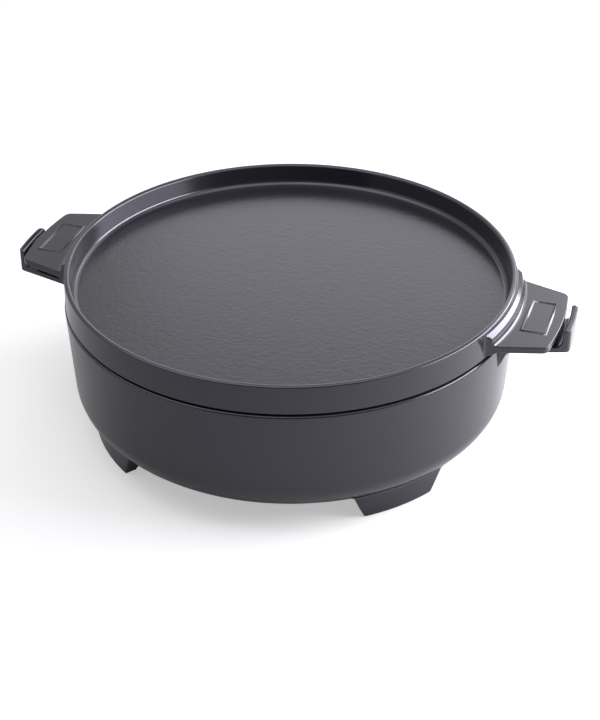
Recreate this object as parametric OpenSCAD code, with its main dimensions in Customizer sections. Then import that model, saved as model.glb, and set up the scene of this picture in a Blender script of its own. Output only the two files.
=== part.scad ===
// Dutch oven in enamelled cast iron, with a lid that is also a shallow griddle.
// Two castings: a pot with four feet and two hooked handles, and a lid with two flat handles.
// +X runs along the pot's handles, +Z is up and Z = 0 is the ground under the feet.

/* [Overall] */
// Outside diameter of the lid at its rim
lid_d = 320; // [280:1:360]
// How far the pot's rim stands out past the lid's rim
rim_overhang = 1.1; // [0.5:0.1:3]
// How far the lid is turned on the pot, in degrees
lid_turn = -2.1; // [-6:0.1:6]

/* [Bowl] */
// Height of the bowl from its underside to its rim
bowl_h = 84.6; // [65:0.1:130]
// Thickness of the bowl's wall
bowl_wall = 4.8; // [4:0.1:7]
// Thickness of the bowl's floor
bowl_floor = 5; // [4:0.1:8]
// Lean of the bowl's wall, in degrees
bowl_draft = 3.5; // [1:0.1:7]
// Outside radius where the wall turns into the floor
bowl_corner_r = 25; // [15:0.5:35]
// Rounding of the rim's outer edge
rim_round = 1.8; // [0.5:0.1:2]
// Rounding of the rim's inner edge
mouth_round = 1.2; // [0.4:0.1:1.5]

/* [Feet] */
// Height of the bowl's underside above the ground
foot_h = 15; // [8:0.1:25]
// How far a foot's outer face stands in from the pot's rim
foot_inset = 15.9; // [14:0.1:26]
// Thickness of a foot, from its outer face to its inner face
foot_t = 10; // [7:0.1:16]
// Width of a foot where it stands
foot_w = 54.5; // [36:0.5:70]
// Lean of a foot's two ends, in degrees
foot_flare = 24; // [5:0.5:40]
// Lean of a foot's outer and inner faces, in degrees
foot_draft = 6; // [1:0.5:12]
// Rounding of a foot's inner edge, where it stands
foot_round = 5; // [1:0.1:6]
// Angle from the handles to the middle of each foot, in degrees
foot_angle = 42.4; // [35:0.1:55]

/* [Pot handles] */
// How far a pot handle reaches past the pot's rim
hook_reach = 42.5; // [36:0.1:60]
// Width of a pot handle at its outer end
hook_w = 35.5; // [26:0.5:50]
// Thickness of a pot handle's plate
hook_t = 4; // [3:0.1:7]
// Drop from the pot's rim to the top of the plate
hook_drop = 2.8; // [2.2:0.1:6]
// Height of the upturned lip above the plate
lip_h = 13.2; // [9:0.1:16]
// Thickness of the upturned lip
lip_t = 4.8; // [4:0.1:7]
// Hollow radius between the plate and its lip
lip_fillet = 5; // [1:0.1:5.5]
// Rounding of the lip's inner edge on top
lip_round = 3; // [1:0.1:3.3]
// Height of the thickened root under the plate
gusset_h = 12.5; // [6:0.1:20]
// Thickness of the root where it meets the plate
gusset_t = 4.5; // [2:0.1:8]
// Hollow radius between the root and the plate's underside
gusset_fillet = 4; // [1:0.1:5]
// Rounding of the corners of a pot handle, seen from above
hook_corner = 4; // [1:0.1:8]

/* [Lid] */
// Height of the lid's rim above the pot's rim
lid_h = 22.4; // [19:0.1:34]
// Height of the open groove between the lid's outer wall and the pot's rim
groove_h = 1.7; // [0.5:0.1:3]
// Reach of the lid's seat on the pot's rim, out from the inside of the bowl
seat_w = 2; // [1.6:0.1:2.4]
// Width of the flat land on top of the lid's rim
land_w = 3.4; // [2.8:0.1:5]
// Lean of the lid's outer wall, in degrees
lid_draft = 1; // [0.2:0.1:2]
// Rounding of the outer edge of the lid's rim
land_round = 1; // [0.3:0.1:1.1]
// Rounding of the lower edge of the lid's wall, over the groove
groove_round = 0.5; // [0.3:0.1:1]
// Rounding of the rim's edge over the dish
land_in_round = 1.6; // [0.5:0.1:1.7]
// Height of the griddle floor's top above the pot's rim
dish_h = 6.8; // [6:0.1:10]
// Thickness of the griddle floor
dish_floor = 4.5; // [3.5:0.1:5.5]
// Lean of the dish's inner wall, in degrees
dish_draft = 7; // [1:0.5:14]
// Hollow radius between the griddle floor and its wall
dish_fillet = 4; // [1.5:0.1:6]
// How far the ring under the lid drops into the pot's mouth
ring_drop = 4.4; // [3:0.1:10]
// Width of that ring
ring_w = 4; // [3:0.1:6]
// Clearance between the ring and the inside of the pot
ring_gap = 0.5; // [0.3:0.1:1.5]
// Rounding of the ring's lower edges
ring_round = 1; // [0.4:0.1:1.2]
// Hollow radius between the ring and the underside of the griddle floor
ring_fillet = 1.5; // [0.5:0.1:2]

/* [Lid handles] */
// Clearance between the end of a lid handle and the lip of a pot handle
lip_gap = 2.8; // [1:0.1:8]
// Width of a lid handle between its outer corners
tab_w = 74.4; // [50:0.5:90]
// Thickness of a lid handle's plate
tab_t = 5; // [4:0.1:7]
// Height of the plate's underside above the pot's rim
tab_lift = 6.2; // [4.5:0.1:7]
// Drop from the lid's rim to the top of the shoulder at the handle's root
shoulder_drop = 2.8; // [2:0.1:6]
// Fall of the shoulder's top from the lid's wall to its edge
shoulder_fall = 2.6; // [1:0.1:4]
// Thickness of that shoulder, out from the lid's wall
shoulder_t = 4.2; // [3:0.1:8]
// Hollow radius between the shoulder and the plate
shoulder_fillet = 3.5; // [1:0.1:4]
// Reach of the sloping root under the plate
root_reach = 7.5; // [3:0.1:12]
// Rounding of the corners of a lid handle, seen from above
tab_corner = 5.5; // [1:0.1:8]

/* [All handles] */
// Lean of the sides of every handle, in degrees
grip_taper = 16.3; // [0:0.1:25]

/* [Hidden] */
$fn = 180;
enamel = [0.21, 0.205, 0.22];
arc_steps = 10;
// Room that the cutting shapes keep past the pieces they trim
margin = 12;

// Heights, from the ground up
floor_z = foot_h + bowl_floor;
rim_z = foot_h + bowl_h;
top_z = rim_z + lid_h;
hook_top = rim_z - hook_drop;
hook_bottom = hook_top - hook_t;
dish_z = rim_z + dish_h;
dish_under = dish_z - dish_floor;
ring_z = rim_z - ring_drop;
flange_z = rim_z + groove_h;
tab_bottom = rim_z + tab_lift;
tab_top = tab_bottom + tab_t;
shoulder_top = top_z - shoulder_drop;
shoulder_edge = max(shoulder_top - shoulder_fall, tab_top + shoulder_fillet + land_round);

// Radii, measured from the middle of the pot
lid_r = lid_d / 2;
rim_r = lid_r + rim_overhang;
hook_end = rim_r + hook_reach;
tab_end = hook_end - lip_t - lip_gap;
foot_r = rim_r - foot_inset;

// Radius of the bowl's outer and inner wall, and of the lid's, at height z
function bowl_out(z) = rim_r - (rim_z - z) * tan(bowl_draft);
function bowl_in(z) = bowl_out(z) - bowl_wall / cos(bowl_draft);
function lid_out(z) = lid_r + (top_z - z) * tan(lid_draft);
function lid_in(z) = lid_r - land_w - (top_z - z) * tan(dish_draft);

ring_r = bowl_in(ring_z) - ring_gap;
seat_r = bowl_in(rim_z) + seat_w;

foot_names = ["pot_foot_right_back", "pot_foot_left_back", "pot_foot_left_front", "pot_foot_right_front"];
hook_names = ["pot_handle_right", "pot_handle_left"];
tab_names = ["lid_handle_right", "lid_handle_left"];

function unit(v) = v / norm(v);

// Points of a circular arc
function arc(c, r, a0, a1) =
    [for (i = [0:arc_steps]) let (a = a0 + (a1 - a0) * i / arc_steps) c + r * [cos(a), sin(a)]];

// The rounding of radius r at corner p, between its neighbours a and b
function bend(a, p, b, r) =
    let (
        ua = unit(a - p),
        ub = unit(b - p),
        half = acos(ua * ub) / 2,
        c = p + unit(ua + ub) * r / sin(half),
        from = p + ua * r / tan(half) - c,
        to = p + ub * r / tan(half) - c,
        a0 = atan2(from[1], from[0]),
        turn = sign(cross(from, to)) * (180 - 2 * half)
    )
    arc(c, r, a0, a0 + turn);

// A closed outline from corners [x, y, radius]; a radius of 0 keeps the corner sharp
function rounded(corners) =
    let (n = len(corners), xy = [for (k = corners) [k[0], k[1]]])
    [for (i = [0:n - 1])
        each corners[i][2] == 0 ? [xy[i]] : bend(xy[(i + n - 1) % n], xy[i], xy[(i + 1) % n], corners[i][2])];

// Plan of a handle: straight leaning sides, rounded corners and an end that is round about the pot
function grip_plan(w, end_r, corner_r, root_x) =
    let (
        out = [sin(grip_taper), cos(grip_taper)],
        along = [cos(grip_taper), -sin(grip_taper)],
        d = out * [sqrt(pow(end_r, 2) - pow(w / 2, 2)), w / 2],
        c = (d - corner_r) * out + sqrt(pow(end_r - corner_r, 2) - pow(d - corner_r, 2)) * along,
        a = atan2(c[1], c[0]),
        root = [root_x, (d - root_x * out[0]) / out[1]],
        side = concat([root], arc(c, corner_r, 90 - grip_taper, a)),
        mirrored = [for (i = [len(side) - 1:-1:0]) [side[i][0], -side[i][1]]]
    )
    concat(side, [for (p = arc([0, 0], end_r, a, -a)) if (abs(p[1]) < side[len(side) - 1][1]) p], mirrored);

// The bowl as a solid with no hollow, which trims what meets its outside
module bowl_envelope() {
    rotate_extrude()
        polygon(rounded([
            [0, foot_h, 0],
            [bowl_out(foot_h), foot_h, bowl_corner_r],
            [rim_r, rim_z, 0],
            [0, rim_z, 0]
        ]));
}

module pot_bowl() {
    color(enamel)
        rotate_extrude()
            polygon(rounded([
                [0, foot_h, 0],
                [bowl_out(foot_h), foot_h, bowl_corner_r],
                [rim_r, rim_z, rim_round],
                [bowl_in(rim_z), rim_z, mouth_round],
                [bowl_in(floor_z), floor_z, bowl_corner_r - bowl_wall],
                [0, floor_z, 0]
            ]));
}

// The room on one side of a foot's end, which stands along a radius of the pot and leans out upwards
module foot_end(azimuth, side, foot_top) {
    flare = foot_top * tan(foot_flare);
    rotate(azimuth + side * asin(foot_w / 2 / foot_r))
        rotate([90, 0, 90])
            linear_extrude(rim_r)
                polygon([
                    [-side * rim_r, 0],
                    [0, 0],
                    [side * flare, foot_top],
                    [-side * rim_r, foot_top]
                ]);
}

// A foot is a short arc of a ring with leaning ends, cut off by the underside of the bowl
module pot_foot(i) {
    foot_top = foot_h + bowl_corner_r;
    lean = foot_top * tan(foot_draft);
    azimuth = [foot_angle, 180 - foot_angle, 180 + foot_angle, -foot_angle][i];
    color(enamel)
        difference() {
            intersection() {
                rotate_extrude()
                    polygon(rounded([
                        [foot_r - foot_t, 0, foot_round],
                        [foot_r, 0, 0],
                        [foot_r + lean, foot_top, 0],
                        [foot_r - foot_t - lean, foot_top, 0]
                    ]));
                foot_end(azimuth, 1, foot_top);
                foot_end(azimuth, -1, foot_top);
            }
            bowl_envelope();
        }
}

// A pot handle is a flat plate that turns up into a lip, on a root that thickens the bowl's wall
module pot_handle(i) {
    lip_in = hook_end - lip_t;
    lip_top = hook_top + lip_h;
    gusset_z = hook_bottom - gusset_h;
    color(enamel)
        rotate(180 * i)
            intersection() {
                rotate_extrude()
                    polygon(rounded([
                        [bowl_out(gusset_z), gusset_z, 0],
                        [bowl_out(hook_bottom) + gusset_t, hook_bottom, gusset_fillet],
                        [hook_end + margin, hook_bottom, 0],
                        [hook_end + margin, lip_top, 0],
                        [lip_in, lip_top, lip_round],
                        [lip_in, hook_top, lip_fillet],
                        [bowl_out(hook_top), hook_top, 0]
                    ]));
                translate([0, 0, gusset_z - margin])
                    linear_extrude(lip_top - gusset_z + 2 * margin)
                        polygon(grip_plan(hook_w, hook_end, hook_corner, rim_r / 2));
            }
}

// The lid is a shallow dish that rests on the pot's rim with a narrow seat, and a ring below it drops into the mouth
module lid_dish() {
    color(enamel)
        rotate_extrude()
            polygon(rounded([
                [0, dish_under, 0],
                [ring_r - ring_w, dish_under, ring_fillet],
                [ring_r - ring_w, ring_z, ring_round],
                [ring_r, ring_z, ring_round],
                [ring_r, rim_z, 0],
                [seat_r, rim_z, 0],
                [seat_r, flange_z, 0],
                [lid_out(flange_z), flange_z, groove_round],
                [lid_r, top_z, land_round],
                [lid_r - land_w, top_z, land_in_round],
                [lid_in(dish_z), dish_z, dish_fillet],
                [0, dish_z, 0]
            ]));
}

// A lid handle is a flat plate with a raised shoulder against the lid's wall
module lid_handle(i) {
    root_z = flange_z + land_round;
    shoulder_r = lid_out(tab_top) + shoulder_t;
    color(enamel)
        rotate(lid_turn + 180 * i)
            intersection() {
                rotate_extrude()
                    polygon(rounded([
                        [lid_out(root_z), root_z, 0],
                        [lid_out(tab_bottom) + root_reach, tab_bottom, 0],
                        [tab_end + margin, tab_bottom, 0],
                        [tab_end + margin, tab_top, 0],
                        [shoulder_r, tab_top, shoulder_fillet],
                        [shoulder_r, shoulder_edge, land_round],
                        [lid_out(shoulder_top), shoulder_top, 0]
                    ]));
                translate([0, 0, root_z - margin])
                    linear_extrude(lid_h + 2 * margin)
                        polygon(grip_plan(tab_w, tab_end, tab_corner, lid_r / 2));
            }
}

pot_bowl();
for (i = [0:3]) pot_foot(i);
for (i = [0:1]) pot_handle(i);
lid_dish();
for (i = [0:1]) lid_handle(i);
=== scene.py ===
# %% [markdown]
# # A dutch oven in enamelled cast iron
# The real object is two iron castings: a pot on four feet, and a lid that is also a shallow griddle.
# Each was poured in a sand mould with its handles and feet on it, ground flat at the rim, and then
# coated with a charcoal porcelain enamel that was fired on.
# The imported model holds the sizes, so it is loaded first and everything else is measured from it.

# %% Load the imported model
import math

import bmesh
import bpy
from mathutils import Matrix, Vector


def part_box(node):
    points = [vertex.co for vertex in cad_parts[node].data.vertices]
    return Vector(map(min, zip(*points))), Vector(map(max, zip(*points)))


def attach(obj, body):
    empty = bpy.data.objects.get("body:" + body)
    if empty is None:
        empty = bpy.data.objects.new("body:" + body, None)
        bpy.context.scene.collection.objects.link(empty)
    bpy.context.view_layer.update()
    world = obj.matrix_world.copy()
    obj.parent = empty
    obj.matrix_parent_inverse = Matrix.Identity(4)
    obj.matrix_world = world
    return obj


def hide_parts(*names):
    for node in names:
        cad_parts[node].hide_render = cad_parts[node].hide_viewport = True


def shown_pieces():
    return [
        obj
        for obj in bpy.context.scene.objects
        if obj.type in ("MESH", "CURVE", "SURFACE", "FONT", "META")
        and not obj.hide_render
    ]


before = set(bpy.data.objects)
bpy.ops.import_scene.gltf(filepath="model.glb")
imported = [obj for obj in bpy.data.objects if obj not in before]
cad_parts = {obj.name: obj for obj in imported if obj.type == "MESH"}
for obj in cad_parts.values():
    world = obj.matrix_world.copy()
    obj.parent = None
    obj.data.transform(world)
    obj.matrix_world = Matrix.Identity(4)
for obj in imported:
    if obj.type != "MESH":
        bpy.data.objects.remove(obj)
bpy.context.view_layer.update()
MM = 0.001
print("nodes:", ", ".join(sorted(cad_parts)))

# %% [markdown]
# ## The camera
# The view is fixed before any modelling, so that each piece can be judged in the frame of the
# photograph. The camera could be moved by hand until the rims line up. Here its place was solved from
# points on the rims, the handles and the feet, which gives a long lens a little over a metre away.

# %% Place the camera
CAMERA_AT = Vector((293.6, -978.5, 696.5)) * MM
CAMERA_AIM = Vector((16.4, -32.6, 62.6)) * MM
LENS_MM = 82.5

scene = bpy.context.scene
scene.view_settings.view_transform = "Standard"
camera = bpy.data.objects.new("camera", bpy.data.cameras.new("camera"))
camera.data.lens = LENS_MM
camera.location = CAMERA_AT
camera.rotation_euler = (CAMERA_AIM - CAMERA_AT).to_track_quat("-Z", "Y").to_euler()
scene.collection.objects.link(camera)
scene.camera = camera
print("camera", round((CAMERA_AIM - CAMERA_AT).length, 3), "m from what it looks at")

# %% [markdown]
# ## Sizes that both castings share
# The heights and most radii could be typed in again, but they are read from the boxes of the CAD nodes,
# so that the two models can't drift apart. The leans and roundings are those of the design, in
# millimetres, because a box can't show them. The rim's rounding keeps the box a hair inside the corner
# that the leaning wall would have without it, and that hair is added back.

# %% Measure the castings
BOWL_LEAN = math.radians(3.5)
LID_LEAN = math.radians(1)
RIM_ROUND = 1.8 * MM
GROOVE_H = 1.7 * MM

bowl_low, bowl_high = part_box("pot_bowl")
dish_low, dish_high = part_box("lid_dish")
hook_low, hook_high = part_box("pot_handle_right")
tab_low, tab_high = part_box("lid_handle_right")
rim_z, lid_z = bowl_high.z, dish_high.z
rim_r = bowl_high.x + RIM_ROUND * (math.tan(BOWL_LEAN) + 1 / math.cos(BOWL_LEAN) - 1)
flange_z = rim_z + GROOVE_H
lid_r = dish_high.x - (lid_z - flange_z) * math.tan(LID_LEAN)


def lid_wall(z):
    """Radius of the lid's outer wall at a height."""
    return lid_r + (lid_z - z) * math.tan(LID_LEAN)


def bowl_wall(z):
    """Radius of the bowl's outer wall at a height."""
    return rim_r - (rim_z - z) * math.tan(BOWL_LEAN)


print("rim radius: pot", round(rim_r / MM, 2), "and lid", round(lid_r / MM, 2), "mm")

# %% [markdown]
# ## Turning an outline
# A round casting starts as a pattern on a lathe, and it is made the same way here: half of its section
# is drawn as a line of corners, the corners are rounded, and the line is spun about the pot's axis.
# A cylinder with a bevel modifier would round every corner alike. Bevelling the corner points gives each
# one its own true arc, and spinning sector by sector puts grid lines exactly where the handles and feet
# will grow out of the wall.

# %% Outline and lathe helpers
AXIS = Vector((0, 0, 1))
ARC_STEP = math.radians(10)
TINY = 0.001 * MM


def draw_outline(bm, corners):
    """A line through corners (radius, height, rounding), with each corner rounded by a vertex bevel."""
    points = [bm.verts.new((r, 0, z)) for r, z, rounding in corners]
    for a, b in zip(points, points[1:]):
        bm.edges.new((a, b))
    for point, (r, z, rounding) in zip(points, corners):
        if rounding:
            arms = [e.other_vert(point).co - point.co for e in point.link_edges]
            turn = math.pi - arms[0].angle(arms[1])
            bmesh.ops.bevel(
                bm, geom=[point], offset=rounding * math.tan(turn / 2), offset_type="OFFSET",
                segments=max(3, round(turn / ARC_STEP)), profile=0.5, affect="VERTICES", material=-1)


def lathe(bm, start, sectors):
    """Spins the outline about the axis from azimuth start, through sectors (angle, steps)."""
    bmesh.ops.rotate(bm, verts=bm.verts[:], cent=(0, 0, 0), matrix=Matrix.Rotation(start, 3, "Z"))
    line = bm.verts[:] + bm.edges[:]
    for angle, steps in sectors:
        spun = bmesh.ops.spin(
            bm, geom=line, cent=(0, 0, 0), axis=AXIS, angle=angle, steps=steps, use_merge=False,
            use_duplicate=False)
        line = spun["geom_last"]
    bmesh.ops.remove_doubles(bm, verts=bm.verts[:], dist=TINY)
    bmesh.ops.recalc_face_normals(bm, faces=bm.faces[:])


def radius_of(co):
    """Distance of a point from the pot's axis."""
    return math.hypot(co.x, co.y)


print("outline corners turn in steps of about", round(math.degrees(ARC_STEP)), "degrees")

# %% [markdown]
# ## The plan of a handle
# Seen from above, every handle has two straight leaning sides, two rounded corners and an end that is
# an arc about the pot's axis. That plan could be cut out of a wider plate, but a cut would leave odd
# faces at the wall. The faces of the wall are pulled out into the plan instead, so a point of it is
# found from how far across the handle it lies, from -1 on one side to 1 on the other.

# %% Handle plan helpers
GRIP_TAPER = math.radians(16.3)
SIDE_OUT = Vector((math.sin(GRIP_TAPER), math.cos(GRIP_TAPER)))
SIDE_ALONG = Vector((math.cos(GRIP_TAPER), -math.sin(GRIP_TAPER)))
CORNER_SHARE = 0.34


def side_distance(width, end_r):
    """Distance from the axis to the line of a handle's side."""
    return SIDE_OUT.dot((math.sqrt(end_r**2 - width**2 / 4), width / 2))


def side_angle(distance, r):
    """Azimuth of a handle's side at radius r, from the handle's middle line."""
    return math.asin(distance / r) - GRIP_TAPER


def on_ring(across, distance, r):
    """Point of the plan at radius r."""
    angle = across * side_angle(distance, r)
    return Vector((r * math.cos(angle), r * math.sin(angle)))


def on_end(across, distance, end_r, corner_r):
    """Point of the plan on its end: the arc about the axis, then the arc of a corner."""
    inset = distance - corner_r
    corner = inset * SIDE_OUT + math.sqrt((end_r - corner_r) ** 2 - inset**2) * SIDE_ALONG
    meet = math.atan2(corner.y, corner.x)
    share = (abs(across) - (1 - CORNER_SHARE)) / CORNER_SHARE
    if share <= 0:
        angle = meet * abs(across) / (1 - CORNER_SHARE)
        point = end_r * Vector((math.cos(angle), math.sin(angle)))
    else:
        angle = meet + (math.pi / 2 - GRIP_TAPER - meet) * share
        point = corner + corner_r * Vector((math.cos(angle), math.sin(angle)))
    return Vector((point.x, math.copysign(point.y, across)))


print("handle sides lean in by", round(math.degrees(GRIP_TAPER), 1), "degrees")

# %% [markdown]
# ## Growing a handle out of a wall
# On a casting the handle and the wall are one skin with a hollow where they meet. A separate block that
# is pushed into the wall would show a hard line there, so the wall's own faces are extruded instead.
# Each vertex of the root notes how far across the handle it lies and which level of the root it is on,
# and its copies keep those notes, so that every step of the growth can be placed by a rule.

# %% Notes on the vertices of a root
ON_WALL = 10 * TINY
ROOT_MARGIN = 1.02


def start_casting():
    """An empty mesh whose vertices can note their place on a handle or a foot."""
    bm = bmesh.new()
    return bm, bm.verts.layers.float.new("across"), bm.verts.layers.int.new("level")


def stand(point, z, old):
    """A point of the plan at a height, on the same side of the pot as the old place."""
    way = 1 if old.x > 0 else -1
    return Vector((way * point.x, way * point.y, z))


def mark_root(bm, heights, wall, side):
    """Notes the place of each vertex of a handle's root, and moves it onto the plan's sides."""
    across, level = bm.verts.layers.float["across"], bm.verts.layers.int["level"]
    wide = side_angle(side, wall(heights[0])) * ROOT_MARGIN
    for v in bm.verts:
        v[level] = -1
        way = 1 if v.co.x > 0 else -1
        azimuth = math.atan2(way * v.co.y, way * v.co.x)
        if abs(azimuth) < wide and abs(radius_of(v.co) - wall(v.co.z)) < ON_WALL:
            for i, z in enumerate(heights):
                if abs(v.co.z - z) < ON_WALL:
                    v[level], v[across] = i, azimuth
    widest = max(v[across] for v in bm.verts if v[level] >= 0)
    for v in bm.verts:
        if v[level] >= 0:
            v[across] /= widest
            v.co = stand(on_ring(v[across], side, radius_of(v.co)), v.co.z, v.co)


def faces_on(bm, faces, *wanted):
    """Faces whose vertices all lie on the wanted levels."""
    level = bm.verts.layers.int["level"]
    return [f for f in faces if all(v[level] in wanted for v in f.verts)]


print("a root vertex lies within", round(ON_WALL / MM, 3), "mm of the wall")

# %% [markdown]
# ## The hollow at a root
# The hollow where a handle leaves the wall could be bevelled in afterwards, but bevels tear where they
# end on a wall. The first few steps of the growth follow its curve instead: the root starts a little
# too wide, and narrows as it rises.

# %% Growing helpers
FLARE_STEPS = (0.25, 0.5, 0.75, 1)


def grow(bm, faces, place):
    """Extrudes faces as one region, puts each new vertex at place(vertex), returns the new faces."""
    made = bmesh.ops.extrude_face_region(bm, geom=faces)["geom"]
    bmesh.ops.delete(bm, geom=faces, context="FACES")
    for item in made:
        if isinstance(item, bmesh.types.BMVert):
            item.co = place(item)
    return [item for item in made if isinstance(item, bmesh.types.BMFace)]


def flare(hollow, t):
    """How far a root still spreads along the wall, and how far it has risen, at step t of a hollow."""
    return hollow * (1 - t) ** 2, hollow * t**2


print("a hollow of 2 mm spreads and rises by", [flare(2, t) for t in FLARE_STEPS])

# %% [markdown]
# ## Rounding the edges
# Sand casting leaves no sharp edge, and the enamel rounds what is left. A bevel modifier would take
# every sharp edge at one width, so the edges are picked by where they lie. The bevel slides along the
# edges that meet a corner, and stray grid lines across a flat face would drag it out of shape: flat
# faces are joined first. Hollows are rounded before outer edges.

# %% Rounding helpers
SHARP = math.radians(40)
FLAT = math.radians(0.3)


def middle(edge):
    """Middle of an edge."""
    return (edge.verts[0].co + edge.verts[1].co) / 2


def merge_flats(bm, test):
    """Joins faces that lie in one plane, where the middles of the edges between them pass a test."""
    bm.normal_update()
    flat = [edge for edge in bm.edges
            if edge.is_manifold and edge.calc_face_angle(1) < FLAT and test(middle(edge))]
    bmesh.ops.dissolve_edges(bm, edges=flat, use_verts=True)


def sharp_edges(bm, hollow, test):
    """Edges that turn sharply, into a hollow or outwards, and whose middles pass a test."""
    bm.normal_update()
    sign = -1 if hollow else 1
    turned = [edge for edge in bm.edges
              if edge.is_manifold and sign * edge.calc_face_angle_signed(0) > SHARP]
    return [edge for edge in turned if test(middle(edge))]


def round_edges(bm, edges, radius, segments):
    """Rounds edges to a radius, which is right for the angle by which most of them turn."""
    turns = sorted(edge.calc_face_angle() for edge in edges)
    offset = radius * math.tan(turns[len(turns) // 2] / 2)
    bmesh.ops.bevel(
        bm, geom=edges, offset=offset, offset_type="OFFSET", segments=segments, profile=0.5,
        affect="EDGES", material=-1, clamp_overlap=False, loop_slide=True)


print("edges that turn by more than", round(math.degrees(SHARP)), "degrees get rounded")

# %% [markdown]
# ## From a mesh to a piece
# A finished casting is shaded smooth, as its enamel is. Smooth shading alone would bend the light on
# the flat faces beside a small round, so a Weighted Normal modifier lets the large faces win.

# %% Finishing helper
def finish_casting(bm, name, body, *nodes):
    """Makes an object of a casting's mesh, smooth shaded with its flat faces kept flat."""
    bmesh.ops.remove_doubles(bm, verts=bm.verts[:], dist=TINY)
    bmesh.ops.recalc_face_normals(bm, faces=bm.faces[:])
    open_edges = sum(not edge.is_manifold for edge in bm.edges)
    volume = round(bm.calc_volume() / MM**3)
    print(name, len(bm.faces), "faces,", open_edges, "open edges,", volume, "mm3")
    mesh = bpy.data.meshes.new(name)
    bm.to_mesh(mesh)
    bm.free()
    mesh.shade_smooth()
    piece = bpy.data.objects.new(name, mesh)
    scene.collection.objects.link(piece)
    piece.modifiers.new("flat faces stay flat", "WEIGHTED_NORMAL").keep_sharp = True
    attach(piece, body)
    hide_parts(*nodes)
    return piece


print("in a finished piece, vertices closer than", round(TINY / MM, 4), "mm are merged")

# %% [markdown]
# ## The lid
# The lid is a shallow dish. Its flat griddle floor runs into the wall in a hollow, and a ring under the
# floor drops into the pot's mouth, so that the lid can't slide off. It rests on the pot's rim with a
# narrow seat, and its wall ends a little above the rim. That open groove is the dark line that runs
# round the oven. The dish and the ring could be two pieces, but they are one casting, so one outline
# draws them both. It has corners at the heights where the handles will grow.

# %% Sizes of the lid
LAND_W = 4 * MM
LAND_ROUND = 2 * MM
LAND_IN_ROUND = 2 * MM
FLANGE_ROUND = 0.4 * MM
SEAT_R = 158.3 * MM
DISH_UP = 6.8 * MM
DISH_FLOOR = 4.5 * MM
DISH_FILLET = 4 * MM
DISH_LEAN = math.radians(5)
RING_R = 155.5 * MM
RING_W = 4 * MM
RING_ROUND = 1 * MM
RING_FILLET = 1.5 * MM
TAB_W = 74.4 * MM
TAB_TOP_UP = 11.2 * MM
TAB_HOLLOW = 1.6 * MM
SHOULDER_DROP = 2.8 * MM

tab_end, root_z = tab_high.x, tab_low.z
shoulder_z = lid_z - SHOULDER_DROP
tab_top = rim_z + TAB_TOP_UP
dish_z = rim_z + DISH_UP
dish_under = dish_z - DISH_FLOOR
tab_side = side_distance(TAB_W, tab_end)
tab_root = side_angle(tab_side + TAB_HOLLOW, lid_r)
print("lid handle's root spans", round(math.degrees(2 * tab_root), 1), "degrees of the wall")

# %% Turn the lid
TAB_STEPS = 24
LID_STEPS = 96

lid, across, level = start_casting()
draw_outline(lid, [
    (0, dish_under, 0),
    (RING_R - RING_W, dish_under, RING_FILLET),
    (RING_R - RING_W, dish_low.z, RING_ROUND),
    (RING_R, dish_low.z, RING_ROUND),
    (RING_R, rim_z, 0),
    (SEAT_R, rim_z, 0),
    (SEAT_R, flange_z, 0),
    (lid_wall(flange_z), flange_z, FLANGE_ROUND),
    (lid_wall(root_z), root_z, 0),
    (lid_wall(tab_top), tab_top, 0),
    (lid_wall(shoulder_z + TAB_HOLLOW), shoulder_z + TAB_HOLLOW, 0),
    (lid_r, lid_z, LAND_ROUND),
    (lid_r - LAND_W, lid_z, LAND_IN_ROUND),
    (lid_r - LAND_W - (lid_z - dish_z) * math.tan(DISH_LEAN), dish_z, DISH_FILLET),
    (0, dish_z, 0),
])
half_lid = [(2 * tab_root, TAB_STEPS), (math.pi - 2 * tab_root, LID_STEPS)]
lathe(lid, -tab_root, half_lid * 2)
print("lid", len(lid.faces), "faces")

# %% [markdown]
# ## The lid's handles
# A lid handle is a flat plate with a raised shoulder against the wall and a sloping root below. It could
# be cut from a block, but growing it keeps one skin. It takes three steps: the whole root moves out to
# the shoulder's face, its lower part on to the plate, and the plate to its rounded end.

# %% Pull the lid's handles out of its wall
SHOULDER_T = 4.2 * MM
SHOULDER_FALL = 2.6 * MM
TAB_BOTTOM_UP = 6.2 * MM
ROOT_REACH = 7.5 * MM
FLAT_FROM = 16 * MM
TAB_CORNER = 5.5 * MM

tab_bottom = rim_z + TAB_BOTTOM_UP
shoulder_r = lid_wall(tab_top) + SHOULDER_T
root_slope = (tab_bottom - root_z) / ROOT_REACH
plate_at = [(lid_wall(tab_bottom) + ROOT_REACH, tab_bottom), (shoulder_r + FLAT_FROM, tab_top)]


def tab_root_point(v, spread, rise):
    """A point of the root, which has a sloping underside and a shoulder that falls outwards."""
    shoulder = shoulder_z + spread - rise * SHOULDER_FALL / SHOULDER_T
    heights = [root_z + rise * root_slope, tab_top, shoulder]
    bases = [lid_wall(root_z), lid_wall(tab_top), lid_wall(shoulder_z)]
    r = bases[v[level]] + rise
    return stand(on_ring(v[across], tab_side + spread, r), heights[v[level]], v.co)


def plate_point(v):
    """A point where the plate leaves its root, on its underside or its top."""
    r, z = plate_at[v[level]]
    return stand(on_ring(v[across], tab_side, r), z, v.co)


mark_root(lid, [root_z, tab_top, shoulder_z + TAB_HOLLOW], lid_wall, tab_side + TAB_HOLLOW)
tab = faces_on(lid, lid.faces, 0, 1, 2)
for t in FLARE_STEPS:
    tab = grow(lid, tab, lambda v: tab_root_point(v, *flare(TAB_HOLLOW, t)))
tab = grow(lid, tab, lambda v: tab_root_point(v, 0, SHOULDER_T))
tab = grow(lid, faces_on(lid, tab, 0, 1), plate_point)
grow(lid, tab, lambda v: stand(on_end(v[across], tab_side, tab_end, TAB_CORNER), v.co.z, v.co))
print("lid with handles", len(lid.faces), "faces")

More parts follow.
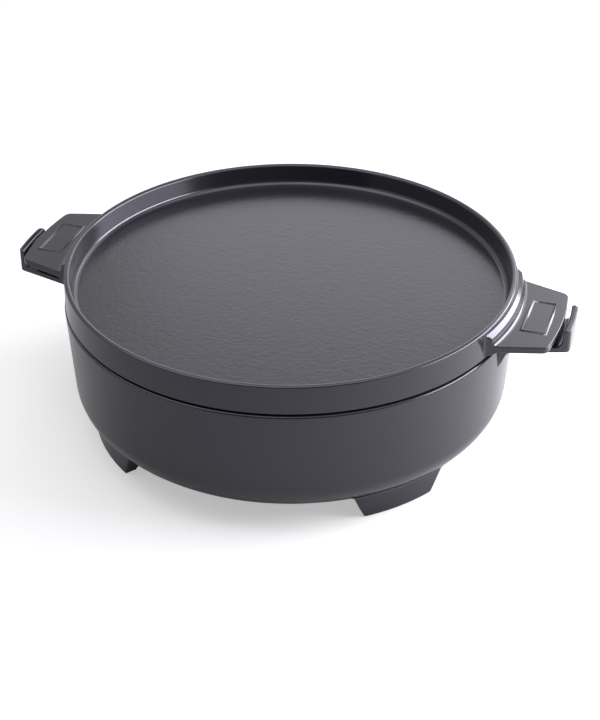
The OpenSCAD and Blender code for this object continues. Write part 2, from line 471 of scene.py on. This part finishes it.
# %% [markdown]
# ## The rounds of the lid's handles
# The hollow at the foot of the shoulder is wide, and the outer edges are only broken. On the photograph
# the lid lies a little turned on the pot. The handles are modelled square to the axes, where they are
# easy to place, and the whole mesh is turned at the end.

# %% Round the lid's handles
OFF_WALL = 0.1 * MM
SHOULDER_FILLET = 3.5 * MM
TAB_EDGE = 0.8 * MM
LID_TURN = math.radians(-2.1)


def off_lid(co):
    """Whether a point lies on a handle, clear of the lid's wall."""
    return radius_of(co) > lid_wall(co.z) + OFF_WALL


def at_shoulder(co):
    """Whether a point lies at the shoulder's face or further out."""
    return radius_of(co) > shoulder_r - MM


merge_flats(lid, off_lid)
round_edges(lid, sharp_edges(lid, True, at_shoulder), SHOULDER_FILLET, segments=6)
round_edges(lid, sharp_edges(lid, False, off_lid), TAB_EDGE, segments=3)
bmesh.ops.rotate(lid, verts=lid.verts[:], cent=(0, 0, 0), matrix=Matrix.Rotation(LID_TURN, 3, "Z"))
lid_casting = finish_casting(
    lid, "lid_casting", "lid", "lid_dish", "lid_handle_right", "lid_handle_left")

# %% [markdown]
# ## The pot's bowl
# The bowl is turned like the lid. Its wall leans out by a few degrees so that the pattern could leave
# the sand, and it turns into the floor in a wide round. A shell could be thickened by a modifier, but
# the floor is a little thicker than the wall, so the outline goes round both sides. Rings are kept at
# the heights where the handles grow, and the first rings of that wide round are where the feet will.

# %% Sizes of the bowl
WALL_T = 4.8 * MM
FLOOR_T = 5 * MM
BOWL_CORNER = 25 * MM
MOUTH_ROUND = 1.2 * MM
HOOK_W = 35.5 * MM
HOOK_DROP = 2.8 * MM
HOOK_T = 4 * MM
HOOK_HOLLOW = 1 * MM
FOOT_MIDDLE = math.radians(42.4)
FOOT_SPREAD = math.radians(15.2)
FOOT_HOLLOW = 1.8 * MM

hook_top = rim_z - HOOK_DROP
hook_bottom = hook_top - HOOK_T
hook_end, lip_top, gusset_z = hook_high.x, hook_high.z, hook_low.z
hook_side = side_distance(HOOK_W, hook_end)
hook_root = side_angle(hook_side + HOOK_HOLLOW, bowl_wall(hook_top))
inside = WALL_T / math.cos(BOWL_LEAN)
corner_r = bowl_wall(bowl_low.z) - BOWL_CORNER * math.tan((math.pi / 2 - BOWL_LEAN) / 2)
floor_z = bowl_low.z + FLOOR_T
print("hook's root spans", round(math.degrees(2 * hook_root), 1), "degrees of the wall")

# %% Turn the bowl
pot, across, level = start_casting()
draw_outline(pot, [
    (0, bowl_low.z, 0),
    (corner_r - FOOT_HOLLOW, bowl_low.z, 0),
    (bowl_wall(bowl_low.z), bowl_low.z, BOWL_CORNER),
    (bowl_wall(gusset_z), gusset_z, 0),
    (bowl_wall(hook_bottom), hook_bottom, 0),
    (bowl_wall(hook_top + HOOK_HOLLOW), hook_top + HOOK_HOLLOW, 0),
    (rim_r, rim_z, RIM_ROUND),
    (rim_r - inside, rim_z, MOUTH_ROUND),
    (bowl_wall(floor_z) - inside, floor_z, BOWL_CORNER - WALL_T),
    (0, floor_z, 0),
])
# Each sector of the lathe is an angle and its number of steps.
hook_sector = (2 * hook_root, 16)
beside_hook = (FOOT_MIDDLE - FOOT_SPREAD - hook_root, 12)
foot_sector = (2 * FOOT_SPREAD, 20)
between_feet = (math.pi - 2 * (FOOT_MIDDLE + FOOT_SPREAD), 46)
half_bowl = [hook_sector, beside_hook, foot_sector, between_feet, foot_sector, beside_hook]
lathe(pot, -hook_root, half_bowl * 2)
print("bowl", len(pot.faces), "faces")

# %% [markdown]
# ## The pot's handles
# A pot handle is a narrower plate below the lid's, on a root that thickens the wall, and its end turns
# up into a lip in front of the lid's handle. A bent strip would give it one thickness, but the cast root
# is a gusset. So it grows like the lid's handles, and the lip is then pulled up out of the last strip
# of the plate's top.

# %% Pull the hooks out of the bowl's wall
GUSSET_T = 4.5 * MM
GUSSET_START = 0.45
LIP_T = 4.8 * MM
HOOK_CORNER = 3.4 * MM

lip_in = hook_end - LIP_T
gusset_r = bowl_wall(hook_bottom) + GUSSET_T
gusset_slope = (hook_bottom - gusset_z) / (gusset_r - bowl_wall(gusset_z))
gusset_low = Vector((bowl_wall(gusset_z), gusset_z)).lerp((gusset_r, hook_bottom), GUSSET_START)
gusset_at = [gusset_low, (gusset_r, hook_bottom), (gusset_r + GUSSET_T, hook_top)]


def hook_root_point(v, spread, rise):
    """A point of a hook's root, whose underside climbs from the wall to the plate."""
    heights = [gusset_z + rise * gusset_slope, hook_bottom, hook_top + spread]
    bases = [bowl_wall(gusset_z), bowl_wall(hook_bottom), bowl_wall(hook_top)]
    r = bases[v[level]] + rise
    return stand(on_ring(v[across], hook_side + spread, r), heights[v[level]], v.co)


def gusset_point(v):
    """A point where a hook's plate leaves its gusset."""
    r, z = gusset_at[v[level]]
    return stand(on_ring(v[across], hook_side, r), z, v.co)


mark_root(pot, [gusset_z, hook_bottom, hook_top + HOOK_HOLLOW], bowl_wall, hook_side + HOOK_HOLLOW)
hook = faces_on(pot, pot.faces, 0, 1, 2)
for t in FLARE_STEPS:
    hook = grow(pot, hook, lambda v: hook_root_point(v, *flare(HOOK_HOLLOW, t)))
hook = grow(pot, hook, gusset_point)
hook = faces_on(pot, hook, 1, 2)
hook = grow(pot, hook, lambda v: stand(on_ring(v[across], hook_side, lip_in), v.co.z, v.co))
grow(pot, hook, lambda v: stand(on_end(v[across], hook_side, hook_end, HOOK_CORNER), v.co.z, v.co))
plate_top = faces_on(pot, pot.faces, 2)
lip = [f for f in plate_top if all(radius_of(v.co) > lip_in - TINY for v in f.verts)]
grow(pot, lip, lambda v: Vector((v.co.x, v.co.y, lip_top)))
print("bowl with hooks", len(pot.faces), "faces, lip of", len(lip), "strips")

# %% [markdown]
# ## The feet
# Each foot is a short block that follows the bowl's curve under its round corner. Its ends splay out and
# its faces lean a little, as the mould needs. Four blocks could be set under the bowl, but they would
# meet its round corner in a hard line. So each foot grows straight down to the ground from the rings of
# that corner.

# %% Foot helpers
FOOT_R = 145.2 * MM
FOOT_T = 10 * MM
FOOT_W = 54.5 * MM
FOOT_SPLAY = math.radians(24)
FOOT_LEAN = math.radians(6)
FOOT_LEVEL = 10
FOOT_RINGS = 6
FEET = [FOOT_MIDDLE, math.pi - FOOT_MIDDLE, math.pi + FOOT_MIDDLE, -FOOT_MIDDLE]


def from_foot(co):
    """Azimuth of a point, from the middle of the nearest foot."""
    azimuth = math.atan2(co.y, co.x)
    return min((math.remainder(azimuth - foot, math.tau) for foot in FEET), key=abs)


def underside(r):
    """Height of the bowl's underside at a radius, on the flat or on the round corner."""
    return bowl_low.z + BOWL_CORNER - math.sqrt(BOWL_CORNER**2 - max(r - corner_r, 0) ** 2)


def foot_place(v, r, z, spread):
    """A vertex of a foot at a radius and a height, between the foot's two splayed ends."""
    azimuth = math.atan2(v.co.y, v.co.x) - from_foot(v.co)
    azimuth += math.asin(v[across] * (FOOT_W / 2 + z * math.tan(FOOT_SPLAY) + spread) / FOOT_R)
    return Vector((r * math.cos(azimuth), r * math.sin(azimuth), z))


def foot_share(v):
    """Where a vertex lies between a foot's inner face, 0, and its outer face, 1."""
    return (v[level] - FOOT_LEVEL) / (FOOT_RINGS - 1)


def foot_inner_r(z, spread):
    """Radius of a foot's inner face at a height."""
    return FOOT_R - FOOT_T - z * math.tan(FOOT_LEAN) - spread


def foot_outer_r(z, spread):
    """Radius of a foot's outer face at a height."""
    return FOOT_R + z * math.tan(FOOT_LEAN) + spread


def foot_root_point(v, spread, rise):
    """A point of a foot's root at a step of its hollow."""
    share = foot_share(v)
    inner, outer = foot_inner_r(bowl_low.z, spread), foot_outer_r(underside(FOOT_R), spread)
    z = underside(inner + (outer - inner) * share) - rise
    inner, outer = foot_inner_r(z, spread), foot_outer_r(z, spread)
    return foot_place(v, inner + (outer - inner) * share, z, spread)


print("feet at azimuths", [round(math.degrees(foot), 1) for foot in FEET])

# %% Pull the feet out of the underside
CORNER_PART = 0.7
UNDERSIDE_NEAR = 0.5 * MM
FOOT_MARGIN = 1.001


def on_underside(co):
    """Whether a point lies on the first part of the bowl's round corner, where feet may grow."""
    reach = radius_of(co) - corner_r
    in_reach = -FOOT_HOLLOW - TINY < reach < CORNER_PART * BOWL_CORNER
    return in_reach and abs(co.z - underside(radius_of(co))) < UNDERSIDE_NEAR


def ring_of(co):
    """Radius in thousandths of a millimetre, to the nearest ten, which tells the rings apart."""
    return round(radius_of(co) / TINY, -1)


rings = sorted({ring_of(v.co) for v in pot.verts if on_underside(v.co)})[:FOOT_RINGS]
for v in pot.verts:
    in_sector = abs(from_foot(v.co)) < FOOT_SPREAD * FOOT_MARGIN
    if in_sector and on_underside(v.co) and ring_of(v.co) in rings:
        v[level] = FOOT_LEVEL + rings.index(ring_of(v.co))
        v[across] = from_foot(v.co) / FOOT_SPREAD
for v in pot.verts:
    if v[level] >= FOOT_LEVEL:
        v.co = foot_place(v, radius_of(v.co), v.co.z, FOOT_HOLLOW)
feet = faces_on(pot, pot.faces, *range(FOOT_LEVEL, FOOT_LEVEL + FOOT_RINGS))
for t in FLARE_STEPS:
    feet = grow(pot, feet, lambda v: foot_root_point(v, *flare(FOOT_HOLLOW, t)))
grow(pot, feet, lambda v: foot_place(v, FOOT_R - FOOT_T * (1 - foot_share(v)), 0, 0))
print("feet grow from rings of radius", [round(r * TINY / MM, 1) for r in rings], "mm")

# %% [markdown]
# ## The rounds of the pot's handles and feet
# The inside of a hook's lip is wide and soft, and each foot has a large round on the inner edge of its
# sole. All other edges are only broken, as on the lid. One bevel could round them all, but they differ
# in size and the small rounds have to end on the large ones, so the large ones go first.

# %% Tell the edges apart
FOOT_CLEAR = 0.2 * MM


def off_bowl(co):
    """Whether a point lies on a hook, clear of the bowl's wall."""
    return co.z > gusset_z and radius_of(co) > bowl_wall(co.z) + OFF_WALL


def on_lip(co):
    """Whether a point lies on a hook's lip or at its foot."""
    return radius_of(co) > lip_in - MM / 2 and co.z > hook_bottom + TINY


def under_hook(co):
    """Whether a point lies where a hook's underside leaves the gusset."""
    return abs(co.z - hook_bottom) < TINY and radius_of(co) > gusset_r - MM


def lip_inner(co):
    """Whether a point lies on the inner top edge of a lip."""
    return co.z > lip_top - TINY and radius_of(co) < lip_in + OFF_WALL


def foot_inner(co):
    """Whether a point lies on the inner edge of a foot's sole."""
    return co.z < TINY and radius_of(co) < FOOT_R - FOOT_T + OFF_WALL


def on_foot(co):
    """Whether a point lies on a foot, clear of the bowl's underside."""
    clear_z = underside(min(radius_of(co), rim_r - BOWL_CORNER)) - FOOT_CLEAR
    return co.z < 2 * bowl_low.z and co.z < clear_z


merge_flats(pot, lambda co: off_bowl(co) or on_foot(co))
print("bowl with its flat faces joined", len(pot.faces), "faces")

# %% Round the hooks and the feet
LIP_FILLET = 5 * MM
GUSSET_FILLET = 4 * MM
LIP_ROUND = 2.6 * MM
HOOK_EDGE = 0.8 * MM
FOOT_ROUND = 5 * MM
FOOT_EDGE = 1.2 * MM

round_edges(pot, sharp_edges(pot, True, on_lip), LIP_FILLET, segments=6)
round_edges(pot, sharp_edges(pot, True, under_hook), GUSSET_FILLET, segments=5)
round_edges(pot, sharp_edges(pot, False, lip_inner), LIP_ROUND, segments=5)
round_edges(pot, sharp_edges(pot, False, off_bowl), HOOK_EDGE, segments=3)
round_edges(pot, sharp_edges(pot, False, foot_inner), FOOT_ROUND, segments=6)
round_edges(pot, sharp_edges(pot, False, on_foot), FOOT_EDGE, segments=3)
pot_nodes = [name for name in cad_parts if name.startswith("pot_")]
finish_casting(pot, "pot_casting", "pot", *pot_nodes)

# %% [markdown]
# ## The plaque on each lid handle
# A low raised frame is cast on top of each lid handle, with sloping sides so that it could leave the
# sand. It is too thin to matter for the CAD solids. It could be cut out of the handle's top face, but a
# frame of its own that sits a little into the plate gives the same look and keeps the casting's mesh
# simple: a rectangle is inset, its middle taken out, and what is left is thickened and inset once more
# for the slopes.

# %% Plaque frames
PLAQUE_R = 179.4 * MM
PLAQUE_L = 43.4 * MM
PLAQUE_W = 18.8 * MM
PLAQUE_BAR = 2.4 * MM
PLAQUE_SLOPE = 0.95 * MM
PLAQUE_H = 0.8 * MM
PLAQUE_SUNK = 0.3 * MM
FACING_UP = 0.99


def plaque_frame():
    """The mesh of a frame that lies flat about the origin."""
    bm = bmesh.new()
    bmesh.ops.create_grid(bm, x_segments=1, y_segments=1, size=0.5)
    bmesh.ops.scale(bm, verts=bm.verts[:], vec=(PLAQUE_W, PLAQUE_L, 1))
    field = bm.faces[:]
    bmesh.ops.inset_region(
        bm, faces=field, thickness=PLAQUE_BAR, use_boundary=True, use_even_offset=True)
    bmesh.ops.delete(bm, geom=field, context="FACES")
    raised = bmesh.ops.extrude_face_region(bm, geom=bm.faces[:], use_keep_orig=True)["geom"]
    lifted = [v for v in raised if isinstance(v, bmesh.types.BMVert)]
    bmesh.ops.translate(bm, verts=lifted, vec=(0, 0, PLAQUE_SUNK))
    bmesh.ops.recalc_face_normals(bm, faces=bm.faces[:])
    tops = [f for f in bm.faces if f.normal.z > FACING_UP]
    bmesh.ops.inset_region(
        bm, faces=tops, thickness=PLAQUE_SLOPE, depth=PLAQUE_H, use_even_offset=True)
    return bm


for name, turn in (("lid_plaque_right", LID_TURN), ("lid_plaque_left", LID_TURN + math.pi)):
    plaque = plaque_frame()
    place = Matrix.Rotation(turn, 4, "Z") @ Matrix.Translation((PLAQUE_R, 0, tab_top - PLAQUE_SUNK))
    bmesh.ops.transform(plaque, matrix=place, verts=plaque.verts[:])
    finish_casting(plaque, name, "lid")

# %% [markdown]
# ## Colours and nodes
# A colour is written as the hex value that a picture shows. Blender's nodes work in linear light, so
# one function turns the one into the other. One more adds a node with its settings and its links, which
# keeps a material as short to read as a recipe.

# %% Colour and node helpers
def hex_color(text):
    """Linear RGBA of an sRGB hex colour."""
    parts = [int(text[i:i + 2], 16) / 255 for i in (1, 3, 5)]
    linear = [part / 12.92 if part <= 0.04045 else ((part + 0.055) / 1.055) ** 2.4 for part in parts]
    return linear + [1]


def empty_tree(owner):
    """The node tree of a material or a world, with nothing in it."""
    owner.use_nodes = True
    owner.node_tree.nodes.clear()
    return owner.node_tree


def add_node(tree, kind, inputs, **settings):
    """Adds a node to a tree. Each input is a value, or an output socket to link from."""
    node = tree.nodes.new(kind)
    for name, value in settings.items():
        setattr(node, name, value)
    for name, value in inputs.items():
        if isinstance(value, bpy.types.NodeSocket):
            tree.links.new(value, node.inputs[name])
        else:
            node.inputs[name].default_value = value
    return node


def per_mm(size):
    """Texture scale that gives features of a size in millimetres."""
    return 1 / (size * MM)


WHITE = hex_color("#ffffff")
print("a mid grey in linear light:", [round(part, 4) for part in hex_color("#808080")])

# %% [markdown]
# ## The enamel
# Porcelain enamel is glass that is sprayed on as a slip and fired, so it has the gloss of glass, dulled
# here by a satin glaze. It shrinks a little unevenly over the sand-cast iron, which leaves a faint
# orange peel. The peel could be sculpted, but it is far too fine for that, so noise drives a bump. The
# griddle floor was left rougher, with ripples of about three millimetres and a few pits, and gets a
# stronger bump.

# %% Enamel materials
ENAMEL_COLOR = "#222125"
ENAMEL_TINT = "#f2eeff"
ENAMEL_IOR = 1.62
PIT_SPACING_MM = 26
PIT_SHARE = 0.045


def enamel(name, peel_mm, peel_height_mm, pit_depth_mm, roughness):
    """Charcoal glass over cast iron, with the orange peel of the fired slip and a few pits."""
    material = bpy.data.materials.new(name)
    tree = empty_tree(material)
    place = add_node(tree, "ShaderNodeTexCoord", {}).outputs["Object"]
    peel = add_node(tree, "ShaderNodeTexNoise", {
        "Vector": place, "Scale": per_mm(peel_mm), "Detail": 2, "Roughness": 0.5})
    bump = add_node(tree, "ShaderNodeBump", {
        "Strength": 1, "Distance": peel_height_mm * MM, "Height": peel.outputs["Fac"]})
    spots = add_node(tree, "ShaderNodeTexVoronoi", {
        "Vector": place, "Scale": per_mm(PIT_SPACING_MM), "Randomness": 1})
    hole = add_node(tree, "ShaderNodeMapRange", {
        "Value": spots.outputs["Distance"], "From Min": 0, "From Max": PIT_SHARE,
        "To Min": 0, "To Max": 1})
    pits = add_node(tree, "ShaderNodeBump", {
        "Strength": 1, "Distance": pit_depth_mm * MM, "Height": hole.outputs["Result"],
        "Normal": bump.outputs["Normal"]})
    shader = add_node(tree, "ShaderNodeBsdfPrincipled", {
        "Base Color": hex_color(ENAMEL_COLOR), "Roughness": roughness, "IOR": ENAMEL_IOR,
        "Specular Tint": hex_color(ENAMEL_TINT), "Normal": pits.outputs["Normal"]})
    add_node(tree, "ShaderNodeOutputMaterial", {"Surface": shader.outputs["BSDF"]})
    return material


# Satin enamel: smooth dark glass, whose soft sheen gives blurred bands of light along rims and hollows.
casting_enamel = enamel(
    "satin porcelain enamel", peel_mm=2.2, peel_height_mm=0.012, pit_depth_mm=0, roughness=0.17)
# Griddle enamel: the same glass over coarser iron, where the light breaks up into fine ripples.
griddle_enamel = enamel(
    "griddle porcelain enamel", peel_mm=3, peel_height_mm=0.14, pit_depth_mm=0.12, roughness=0.25)
print("pits are about", round(2 * PIT_SHARE * PIT_SPACING_MM, 1), "mm across")

# %% Enamel the pieces
FLOOR_NEAR = 0.1 * MM

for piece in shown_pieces():
    piece.data.materials.clear()
    piece.data.materials.append(casting_enamel)
lid_casting.data.materials.append(griddle_enamel)
griddle_faces = [face for face in lid_casting.data.polygons
                 if face.normal.z > FACING_UP and abs(face.center.z - dish_z) < FLOOR_NEAR]
for face in griddle_faces:
    face.material_index = 1
print("griddle floor has", len(griddle_faces), "faces")

# %% [markdown]
# ## The softboxes
# The photograph was taken on a white sweep, with a strong softbox at the right and a broad one behind.
# Dark enamel shows its shape by what it mirrors, and small lamps would only give it hard sparks. So each
# softbox is a broad area lamp, and stands where the rims and the hollows catch it: the key low at the
# right, one beside it for the handle's shoulder, a broad one behind for the griddle floor, and two weak
# ones overhead that fill the shadow.

# %% Place the softboxes
LAMP_COLOR = "#fafaff"


def softbox(name, azimuth, elevation, distance, width, height, brightness):
    """A lamp that faces the pot. A brightness of 1 looks white in a mirror."""
    lamp = bpy.data.lights.new(name, "AREA")
    lamp.shape = "RECTANGLE"
    lamp.size, lamp.size_y = width, height
    lamp.color = hex_color(LAMP_COLOR)[:3]
    lamp.energy = brightness * math.pi * width * height
    box = bpy.data.objects.new(name, lamp)
    aim = Vector((0, 0, lid_z / 2))
    swing = Matrix.Rotation(math.radians(azimuth), 4, "Z")
    tilt = Matrix.Rotation(-math.radians(elevation), 4, "Y")
    box.location = swing @ tilt @ Vector((distance, 0, 0)) + aim
    box.rotation_euler = (aim - box.location).to_track_quat("-Z", "Y").to_euler()
    box.visible_camera = False
    scene.collection.objects.link(box)


# Name, azimuth and elevation in degrees, distance, width and height in metres, brightness.
softbox("key softbox", 22, 27, 0.76, 0.95, 0.3, 12)
softbox("top softbox", 10, 76, 1.0, 0.9, 0.7, 1.2)
softbox("left softbox", 205, 66, 1.1, 1.1, 0.8, 1.4)
softbox("side softbox", 72, 28, 1.8, 0.8, 0.8, 1.7)
softbox("back softbox", 94, 19, 1.9, 1.4, 1.15, 1)
print("lamps:", ", ".join(lamp.name for lamp in bpy.data.lights))

# %% [markdown]
# ## The floor and the front of the room
# The oven stands on a white paper sweep, and behind the camera the room is dark, which keeps the front
# of the pot deep. The sweep could curve up behind the oven, but a flat sheet that reaches far back gives
# the same white. The dark front is painted shade: a grey sheet that the camera itself doesn't see stands
# where the room is only dark, so that the enamel mirrors it there.

# %% Lay out the sheets
FLOOR_SIZE = 12
FRONT_AZIMUTH = math.radians(-73)
FRONT_DISTANCE = 1.9
FRONT_W = 3.6
FRONT_H = 1.8


def stage_sheet(name, width, depth, place):
    """A flat sheet of the studio, which isn't part of the oven."""
    sheet = bmesh.new()
    bmesh.ops.create_grid(sheet, x_segments=1, y_segments=1, size=0.5)
    bmesh.ops.scale(sheet, verts=sheet.verts[:], vec=(width, depth, 1))
    bmesh.ops.transform(sheet, matrix=place, verts=sheet.verts[:])
    mesh = bpy.data.meshes.new(name)
    sheet.to_mesh(mesh)
    sheet.free()
    stage = bpy.data.objects.new(name, mesh)
    scene.collection.objects.link(stage)
    return stage


floor = stage_sheet("floor", FLOOR_SIZE, FLOOR_SIZE, Matrix.Identity(4))
upright = Matrix.Rotation(math.pi / 2, 4, "Y")
front_at = Matrix.Rotation(FRONT_AZIMUTH, 4, "Z") @ Matrix.Translation((FRONT_DISTANCE, 0, FRONT_H / 2))
# Painted shade: a grey sheet where the room in front is only dark, mirrored by the enamel but unseen by
# the camera.
front = stage_sheet("dark front of the room", FRONT_H, FRONT_W, front_at @ upright)
front.visible_camera = False
print("floor of", FLOOR_SIZE, "m, front sheet of", FRONT_W, "by", FRONT_H, "m")

# %% [markdown]
# ## Paper, the sheet of painted shade, and the room
# The background of the photograph is pure white. More light would bleach the oven as well, so the floor
# glows for the camera's own rays instead, and keeps the oven's shadow under that glow. Mirrored and
# transmitted rays see a weaker glow, because the real enamel mirrors a dimmer room. The world lights the
# oven softly from above, and is white for the camera.

# %% Paper and the sheet of painted shade
PAPER_COLOR = "#e0e0e0"
SHADE_SHEET_COLOR = "#8a8a8a"
MATT = 0.9
FLOOR_GLOW = 0.45
MIRROR_GLOW = 0.05


def in_mirrors(tree, rays, brightness):
    """A socket that gives a brightness to mirrored and transmitted rays, and 0 to all others."""
    either = add_node(tree, "ShaderNodeMath", {
        0: rays.outputs["Is Glossy Ray"], 1: rays.outputs["Is Transmission Ray"]}, operation="MAXIMUM")
    dim = add_node(tree, "ShaderNodeMath", {0: either.outputs[0], 1: brightness}, operation="MULTIPLY")
    return dim.outputs[0]


# Matt paper: no gloss at all, so that only the oven's shadow shows on it.
paper = bpy.data.materials.new("white paper sweep")
tree = empty_tree(paper)
rays = add_node(tree, "ShaderNodeLightPath", {})
glow = add_node(tree, "ShaderNodeMath", {
    0: rays.outputs["Is Camera Ray"], 1: FLOOR_GLOW, 2: in_mirrors(tree, rays, MIRROR_GLOW)},
    operation="MULTIPLY_ADD")
white = add_node(tree, "ShaderNodeBsdfPrincipled", {
    "Base Color": hex_color(PAPER_COLOR), "Roughness": MATT, "Specular IOR Level": 0,
    "Emission Color": WHITE, "Emission Strength": glow.outputs[0]})
add_node(tree, "ShaderNodeOutputMaterial", {"Surface": white.outputs["BSDF"]})
floor.data.materials.append(paper)

# Painted shade: a matt mid grey sheet for the dark front of the room, which takes the light of the lamps
# and gives little of it back.
shade_sheet = bpy.data.materials.new("grey sheet of painted shade")
tree = empty_tree(shade_sheet)
grey = add_node(tree, "ShaderNodeBsdfPrincipled", {
    "Base Color": hex_color(SHADE_SHEET_COLOR), "Roughness": MATT})
add_node(tree, "ShaderNodeOutputMaterial", {"Surface": grey.outputs["BSDF"]})
front.data.materials.append(shade_sheet)
print("stage materials:", paper.name, "and", shade_sheet.name)

# %% The light of the room
ROOM_LOW = 0.05
ROOM_HIGH = 0.4
MIRROR_ROOM = 0.75

world = bpy.data.worlds.new("studio")
scene.world = world
tree = empty_tree(world)
rays = add_node(tree, "ShaderNodeLightPath", {})
seen = add_node(tree, "ShaderNodeMath", {
    0: rays.outputs["Is Camera Ray"], 1: in_mirrors(tree, rays, MIRROR_ROOM)}, operation="MAXIMUM")
place = add_node(tree, "ShaderNodeTexCoord", {})
height = add_node(tree, "ShaderNodeSeparateXYZ", {"Vector": place.outputs["Generated"]}).outputs["Z"]
ceiling = add_node(tree, "ShaderNodeMapRange", {
    "Value": height, "To Min": ROOM_LOW, "To Max": ROOM_HIGH})
strength = add_node(tree, "ShaderNodeMath", {
    0: ceiling.outputs["Result"], 1: seen.outputs[0]}, operation="MAXIMUM")
room = add_node(tree, "ShaderNodeBackground", {"Color": WHITE, "Strength": strength.outputs[0]})
add_node(tree, "ShaderNodeOutputWorld", {"Surface": room.outputs["Background"]})
print("room light from", ROOM_LOW, "at the horizon to", ROOM_HIGH, "overhead")
